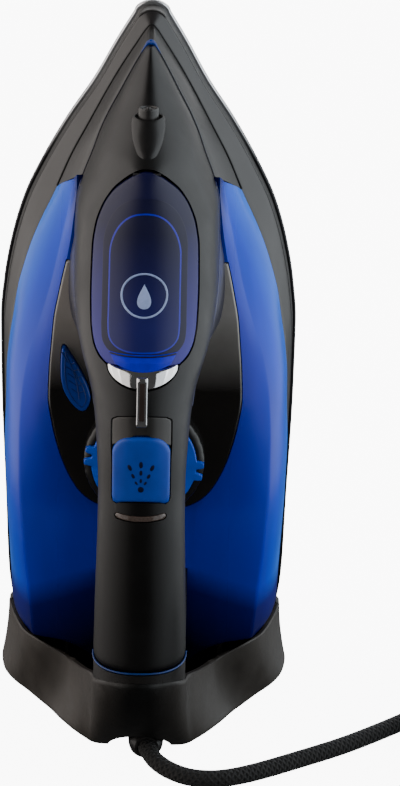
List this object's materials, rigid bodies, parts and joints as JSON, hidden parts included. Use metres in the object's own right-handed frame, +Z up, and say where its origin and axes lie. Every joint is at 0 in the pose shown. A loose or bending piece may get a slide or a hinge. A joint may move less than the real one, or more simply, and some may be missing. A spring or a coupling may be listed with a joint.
{
  "type": "steam iron",
  "caption": "Corded steam iron standing on its heel, with a lidded water tank, temperature dial, steam lever, spray and steam buttons, and a coiled lead with its plug.",
  "frame": {"origin": "centre of the bounding box's bottom face, on the table under the iron as it stands on its heel, measured without the lead", "axes": "+Z up, from the heel to the nose; +Y out of the soleplate's face; -Y to the handle; +X to the right seen from the handle side"},
  "size_m": [0.2795, 0.1878, 0.279],
  "materials": {
    "burst_button": "gloss black",
    "burst_piston": "natural",
    "burst_pump": "natural",
    "burst_spring": "spring steel",
    "chrome_crescent": "mirror",
    "console": "gloss black",
    "cord": "black braid",
    "cord_coil": "black braid",
    "cord_swivel": "satin black",
    "cord_tail": "black braid",
    "cord_tie": "black strap",
    "dial_disc": "blue",
    "dial_knob": "gloss black",
    "drip_valve": "silicone",
    "filler_neck": "dark blue",
    "filler_seal": "matt",
    "filler_tray": "dark blue",
    "front_shroud": "gloss dark grey",
    "grip_underside": "fine grain black",
    "heat_shield": "matt black",
    "heater_casting": "cast",
    "heating_element": "oxidised",
    "heel_cover": "matt black",
    "heel_screw_left": "plain",
    "heel_screw_right": "plain",
    "indicator_board": "circuit board green",
    "indicator_lens": "smoky",
    "lid": "smoky violet-blue, clear",
    "lid_pin": "plain",
    "lower_shell": "gloss dark grey",
    "neck_wall_left": "dark blue",
    "neck_wall_right": "dark blue",
    "plug_body": "satin black",
    "plug_pin_left": "nickel",
    "plug_pin_right": "nickel",
    "plug_relief": "satin black",
    "rear_column": "fine grain black",
    "self_clean_button": "satin blue",
    "self_clean_spring": "spring steel",
    "self_clean_stem": "natural",
    "soleplate": "satin",
    "spray_button": "satin blue",
    "spray_nozzle": "gloss black",
    "spray_piston": "natural",
    "spray_pump": "natural",
    "spray_spring": "spring steel",
    "steam_chamber_cover": "pressed",
    "steam_lever": "mirror",
    "steam_lever_insert": "dark brown",
    "swivel_bracket": "natural",
    "terminal_block": "ceramic white",
    "thermal_fuse": "satin",
    "thermostat_body": "ceramic white",
    "thermostat_shaft": "natural",
    "trim_ring": "blue",
    "upper_housing": "gloss black-grey",
    "valve_needle": "plain",
    "water_tank": "clear blue plastic"
  },
  "bodies": {
    "iron_body": {"burst_pump": "burst_pump", "burst_spring": "burst_spring", "chrome_crescent": "chrome_crescent", "console": "console", "drip_valve": "drip_valve", "filler_neck": "filler_neck", "filler_seal": "filler_seal", "filler_tray": "filler_tray", "front_shroud": "front_shroud", "grip_underside": "grip_underside", "heat_shield": "heat_shield", "heater_casting": "heater_casting", "heating_element": "heating_element", "heel_cover": "heel_cover", "heel_screw_left": "heel_screw_left", "heel_screw_right": "heel_screw_right", "indicator_board": "indicator_board", "indicator_lens": "indicator_lens", "lid_pin": "lid_pin", "lower_shell": "lower_shell", "neck_wall_left": "neck_wall_left", "neck_wall_right": "neck_wall_right", "rear_column": "rear_column", "self_clean_spring": "self_clean_spring", "soleplate": "soleplate", "spray_nozzle": "spray_nozzle", "spray_pump": "spray_pump", "spray_spring": "spray_spring", "steam_chamber_cover": "steam_chamber_cover", "swivel_bracket": "swivel_bracket", "terminal_block": "terminal_block", "thermal_fuse": "thermal_fuse", "thermostat_body": "thermostat_body", "trim_ring": "trim_ring", "upper_housing": "upper_housing", "water_tank": "water_tank"},
    "dial": {"dial_knob": "dial_knob", "dial_disc": "dial_disc", "thermostat_shaft": "thermostat_shaft"},
    "lever": {"steam_lever": "steam_lever", "steam_lever_insert": "steam_lever_insert"},
    "needle": {"valve_needle": "valve_needle"},
    "spray": {"spray_button": "spray_button", "spray_piston": "spray_piston"},
    "burst": {"burst_button": "burst_button", "burst_piston": "burst_piston"},
    "self_clean": {"self_clean_button": "self_clean_button", "self_clean_stem": "self_clean_stem"},
    "filler_lid": {"lid": "lid"},
    "lead": {"cord_swivel": "cord_swivel", "cord": "cord", "cord_coil": "cord_coil", "cord_tie": "cord_tie", "cord_tail": "cord_tail", "plug_body": "plug_body", "plug_relief": "plug_relief", "plug_pin_left": "plug_pin_left", "plug_pin_right": "plug_pin_right"}
  },
  "joints": [
    {"name": "dial_turn", "type": "hinge", "parent": "iron_body", "child": "dial", "pos_m": [0, 0.005, 0.113], "axis": [0, -1, 0], "range_deg": [0, 240]},
    {"name": "lever_slide", "type": "slide", "parent": "iron_body", "child": "lever", "axis": [0, 0.3764, 0.9265], "range_m": [-0.0015, 0.0025]},
    {"name": "needle_lift", "type": "slide", "parent": "iron_body", "child": "needle", "axis": [0, -1, 0], "range_m": [-0.0006, 0.001]},
    {"name": "spray_press", "type": "slide", "parent": "iron_body", "child": "spray", "axis": [0, 1, 0], "range_m": [0, 0.0035], "stiffness_N_per_m": 300, "springref_m": -0.003, "deforming": ["spray_spring"]},
    {"name": "burst_press", "type": "slide", "parent": "iron_body", "child": "burst", "axis": [0, 1, 0], "range_m": [0, 0.003], "stiffness_N_per_m": 300, "springref_m": -0.003, "deforming": ["burst_spring"]},
    {"name": "self_clean_press", "type": "slide", "parent": "iron_body", "child": "self_clean", "axis": [0, 1, 0], "range_m": [0, 0.003], "stiffness_N_per_m": 300, "springref_m": -0.003, "deforming": ["self_clean_spring"]},
    {"name": "lid_swing", "type": "hinge", "parent": "iron_body", "child": "filler_lid", "pos_m": [0, -0.0212, 0.2347], "axis": [-1, 0, 0], "range_deg": [0, 70]},
    {"name": "lead_swivel", "type": "hinge", "parent": "iron_body", "child": "lead", "pos_m": [0.0003, 0.003, 0.01], "axis": [0, 0, 1], "range_deg": [-6, 1]}
  ],
  "couplings": [
    {"joint": "needle_lift", "follows": "lever_slide", "ratio": 0.4}
  ]
}
